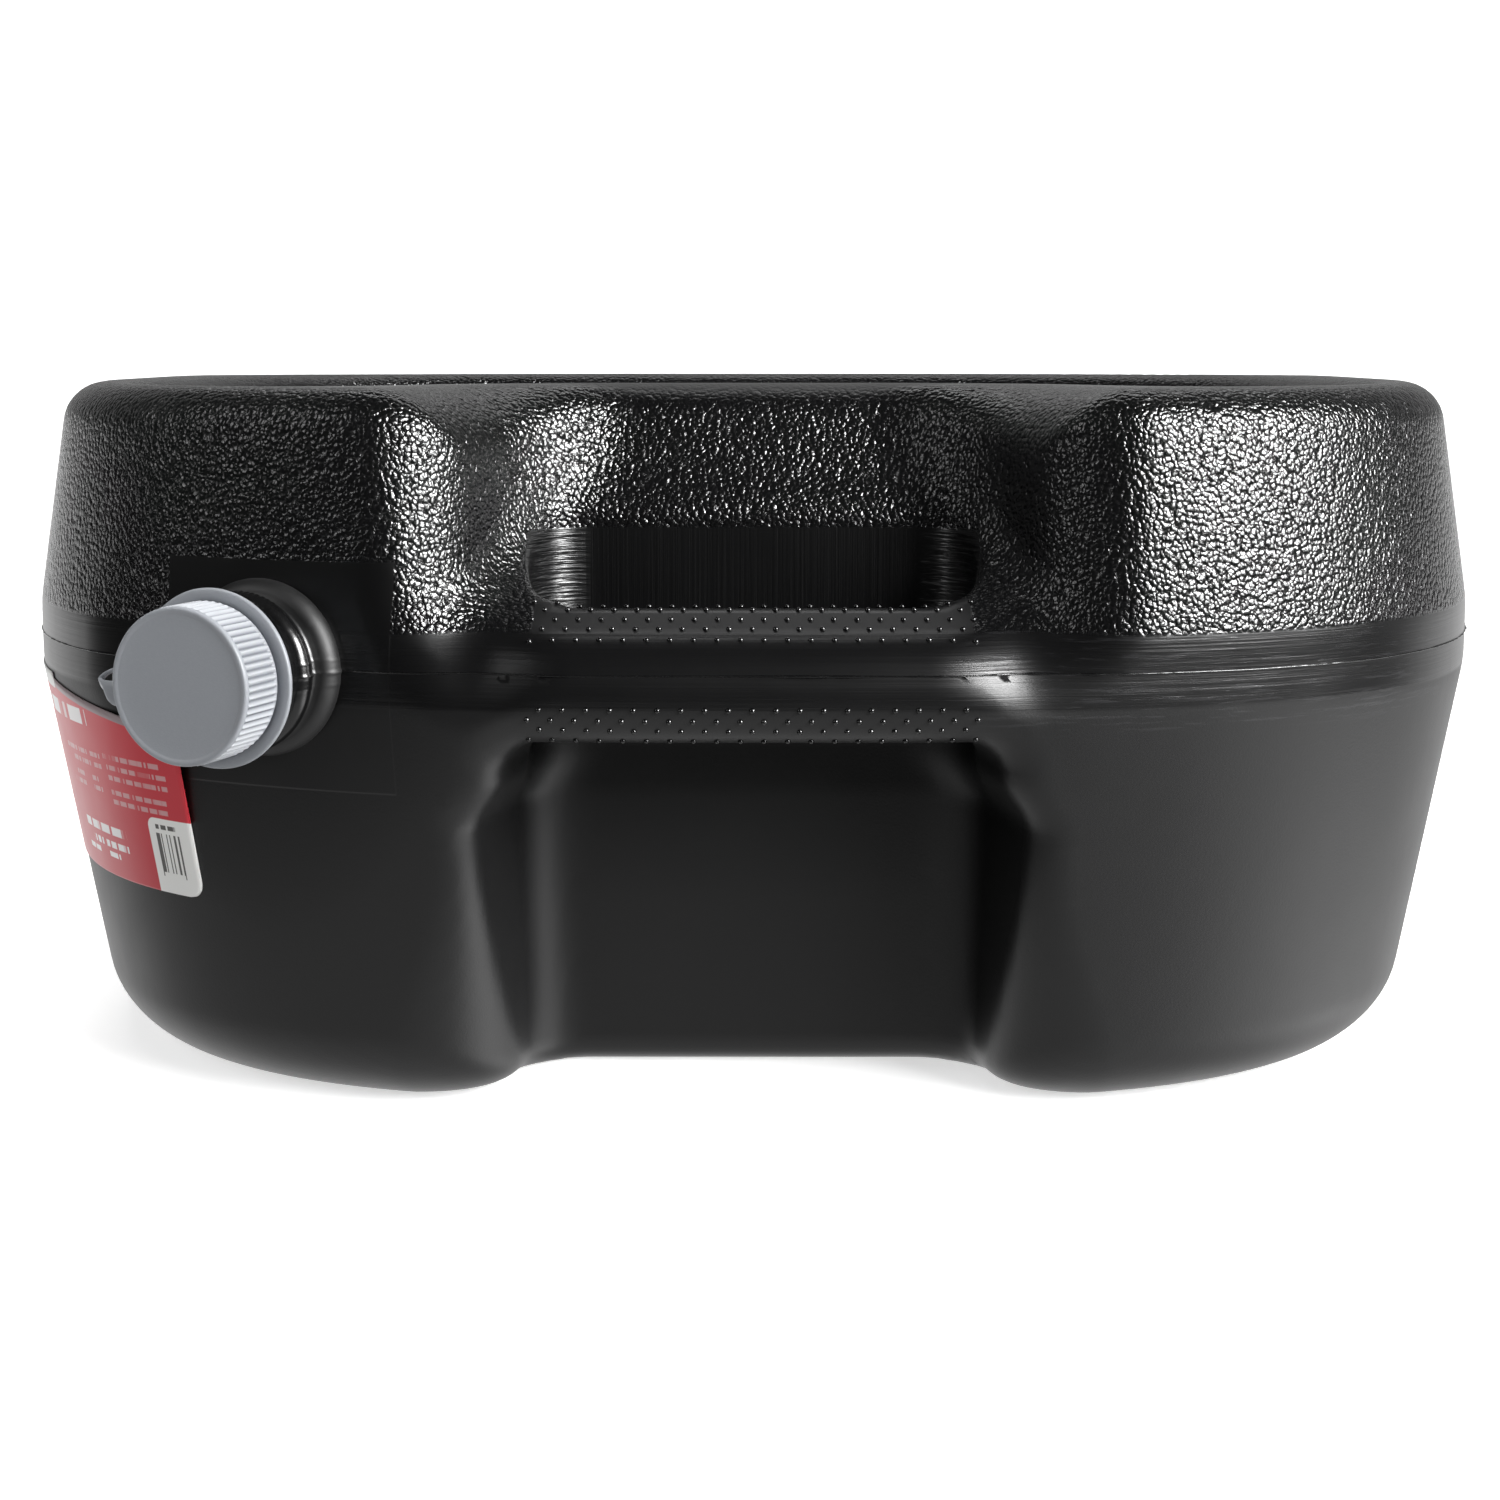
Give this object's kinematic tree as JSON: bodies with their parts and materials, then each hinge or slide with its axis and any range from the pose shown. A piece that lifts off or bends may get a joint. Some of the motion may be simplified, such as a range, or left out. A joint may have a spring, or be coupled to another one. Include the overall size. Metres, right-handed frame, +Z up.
{
  "type": "oil drain pan",
  "caption": "Closed blow-moulded oil drain container with a catch basin and screw plug on top, a front carrying grip and a side-facing capped pouring spout.",
  "frame": {"origin": "on the floor plane under the middle of the tank's outline", "axes": "+Z up, -Y the front with the grip, the spout to the left of it at -X, +X the long direction"},
  "size_m": [0.4403, 0.413, 0.195],
  "materials": {
    "tank_grained": "black polyethylene, leather grain",
    "tank_satin": "black polyethylene, satin",
    "tank_gloss": "black polyethylene, glossy where it was trimmed and blown smooth",
    "cap_grey": "light grey polypropylene, satin",
    "liner_foam": "closed-cell foam disc",
    "strainer_grey": "grey moulded plastic",
    "seal_rubber": "nitrile rubber",
    "label_film": "printed self-adhesive film"
  },
  "bodies": {
    "tank": {"tank_upper": "tank_grained", "tank_lower": "tank_satin", "tank_base": "tank_satin", "carry_grip": "tank_satin", "spout_neck": "tank_gloss", "tether_neck_ring": "cap_grey", "drain_port": "tank_gloss", "strainer": "strainer_grey", "side_label": "label_film"},
    "tether": {"tether_swivel_ring": "cap_grey", "tether_strap": "cap_grey"},
    "cap": {"spout_cap": "cap_grey", "cap_liner": "liner_foam"},
    "plug_seal": {"plug_o_ring": "seal_rubber"},
    "plug": {"drain_plug": "cap_grey"}
  },
  "joints": [
    {"name": "cap_lift", "type": "slide", "parent": "tank", "child": "tether", "axis": [-0.3665, -0.9304, 0], "range_m": [0, 0.0132]},
    {"name": "cap_turn", "type": "hinge", "parent": "tether", "child": "cap", "pos_m": [-0.1265, -0.1765, 0.123], "axis": [-0.3665, -0.9304, 0], "range_deg": [0, 1080]},
    {"name": "plug_lift", "type": "slide", "parent": "tank", "child": "plug_seal", "axis": [0, 0, 1], "range_m": [0, 0.0144]},
    {"name": "plug_turn", "type": "hinge", "parent": "plug_seal", "child": "plug", "pos_m": [0, 0, 0.149], "axis": [0, 0, 1], "range_deg": [0, 1080]}
  ],
  "couplings": [
    {"joint": "cap_turn", "follows": "cap_lift", "rad_per_m": 1428},
    {"joint": "plug_turn", "follows": "plug_lift", "rad_per_m": 1309}
  ]
}
